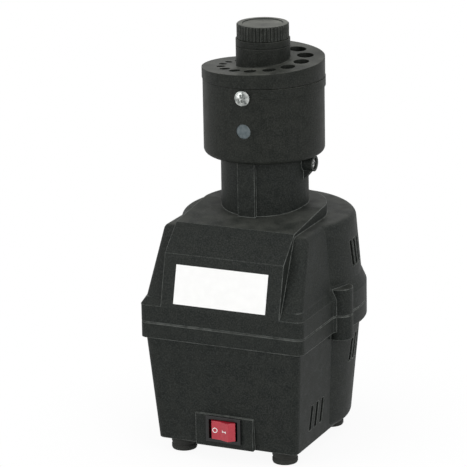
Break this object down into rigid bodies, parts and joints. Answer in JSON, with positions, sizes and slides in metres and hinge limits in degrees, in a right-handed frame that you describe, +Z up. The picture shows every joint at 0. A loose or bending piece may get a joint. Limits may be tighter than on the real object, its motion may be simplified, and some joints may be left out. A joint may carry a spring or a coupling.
{
  "type": "drill bit sharpener",
  "caption": "Upright bench drill bit sharpener: motor in a tapered plastic housing with rocker switch, drum-shaped grinding head and a swivelling guide cap with graded drill holes.",
  "frame": {"origin": "on the table, straight under the spindle axis", "axes": "+Z up along the spindle, -Y towards the switch, +X to the right seen from the switch"},
  "size_m": [0.1132, 0.1257, 0.2381],
  "materials": {
    "housing_plastic": "moulded plastic with a fine grain",
    "head_plastic": "satin moulded plastic",
    "foot_rubber": "matte",
    "switch_plastic": "semi-gloss",
    "rocker_red": "red translucent look",
    "label_white": "plain white, bare",
    "zinc_screws": "zinc plated",
    "bright_screw": "bright plated",
    "grey_aluminium": "dull",
    "cast_aluminium": "as cast",
    "bearing_steel": "ground",
    "laminations": "varnished sheet stack",
    "copper_wire": "enamelled wire",
    "brass_pieces": "turned",
    "fan_plastic": "plain",
    "grinding_stone": "gritty bonded stone"
  },
  "bodies": {
    "housing": {"base_housing": "housing_plastic", "upper_cover": "housing_plastic", "housing_screws": "zinc_screws", "rubber_feet": "foot_rubber", "foot_screws": "zinc_screws", "switch_case": "switch_plastic", "switch_terminals": "brass_pieces", "power_inlet": "switch_plastic", "inlet_pins": "brass_pieces", "rating_label": "label_white", "stator_core": "laminations", "stator_windings": "copper_wire", "lower_bracket": "cast_aluminium", "lower_bearing": "bearing_steel", "upper_bracket": "cast_aluminium", "upper_bearing": "bearing_steel", "motor_bolts": "zinc_screws", "head_drum": "head_plastic", "guide_screw": "bright_screw", "set_screws": "grey_aluminium", "lug_screw": "zinc_screws", "spindle_bush": "brass_pieces"},
    "spindle": {"rotor_core": "laminations", "spindle_shaft": "bearing_steel", "cooling_fan": "fan_plastic", "wheel_hub": "cast_aluminium", "grinding_wheel": "grinding_stone", "wheel_washer": "zinc_screws", "wheel_nut": "zinc_screws"},
    "cap": {"guide_cap": "head_plastic", "threaded_insert": "brass_pieces"},
    "thrust": {"thrust_pad": "brass_pieces"},
    "knob": {"adjusting_knob": "head_plastic", "adjusting_stud": "zinc_screws"},
    "rocker": {"switch_rocker": "rocker_red"}
  },
  "joints": [
    {"name": "spindle_spin", "type": "hinge", "parent": "housing", "child": "spindle", "pos_m": [0, 0, 0.12], "axis": [0, 0, 1], "continuous": true},
    {"name": "cap_swivel", "type": "hinge", "parent": "housing", "child": "cap", "pos_m": [0, 0, 0.2082], "axis": [0, 0, 1], "range_deg": [-20, 20]},
    {"name": "thrust_lift", "type": "slide", "parent": "cap", "child": "thrust", "axis": [0, 0, 1], "range_m": [0, 0.002]},
    {"name": "knob_turn", "type": "hinge", "parent": "thrust", "child": "knob", "pos_m": [0, 0, 0.23], "axis": [0, 0, 1], "range_deg": [0, 720]},
    {"name": "rocker_tilt", "type": "hinge", "parent": "housing", "child": "rocker", "pos_m": [0, -0.0596, 0.0193], "axis": [0, 0, 1], "range_deg": [0, 22]}
  ],
  "couplings": [
    {"joint": "knob_turn", "follows": "thrust_lift", "rad_per_m": 6283.2}
  ]
}
